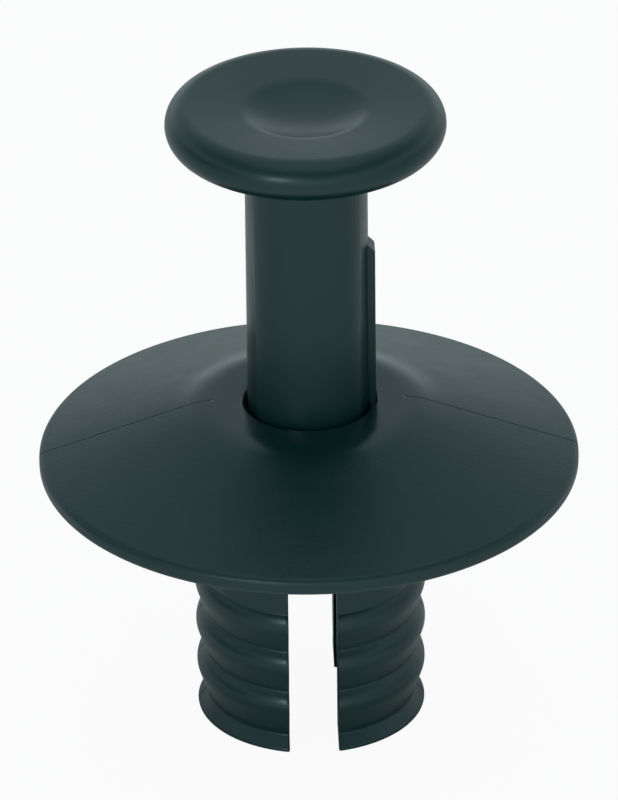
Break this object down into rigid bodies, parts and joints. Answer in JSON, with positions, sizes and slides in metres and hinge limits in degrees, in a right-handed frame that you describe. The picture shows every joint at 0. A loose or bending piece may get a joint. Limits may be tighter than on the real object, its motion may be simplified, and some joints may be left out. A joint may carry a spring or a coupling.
{
  "type": "plastic push rivet",
  "caption": "Push rivet with a coned flange over a split, ribbed shank, and a dished-head drive pin that slides down the bore to spread the legs.",
  "frame": {"origin": "on the rivet's axis, in the plane where the flange seats on the panel", "axes": "+Z along the axis, from the split shank up to the pin's head; the legs lie at -X and +X with the slot along Y between them, and the pin's key is on its +X side"},
  "size_m": [0.02, 0.02, 0.0249],
  "materials": {
    "grommet_plastic": "near-black moulded nylon, satin, with a very fine grain",
    "pin_plastic": "near-black moulded nylon, smooth satin"
  },
  "bodies": {
    "grommet_body": {"grommet": "grommet_plastic"},
    "pin_body": {"drive_pin": "pin_plastic"}
  },
  "joints": [
    {"name": "pin_push", "type": "slide", "parent": "grommet_body", "child": "pin_body", "axis": [0, 0, -1], "range_m": [0, 0.01066]}
  ]
}
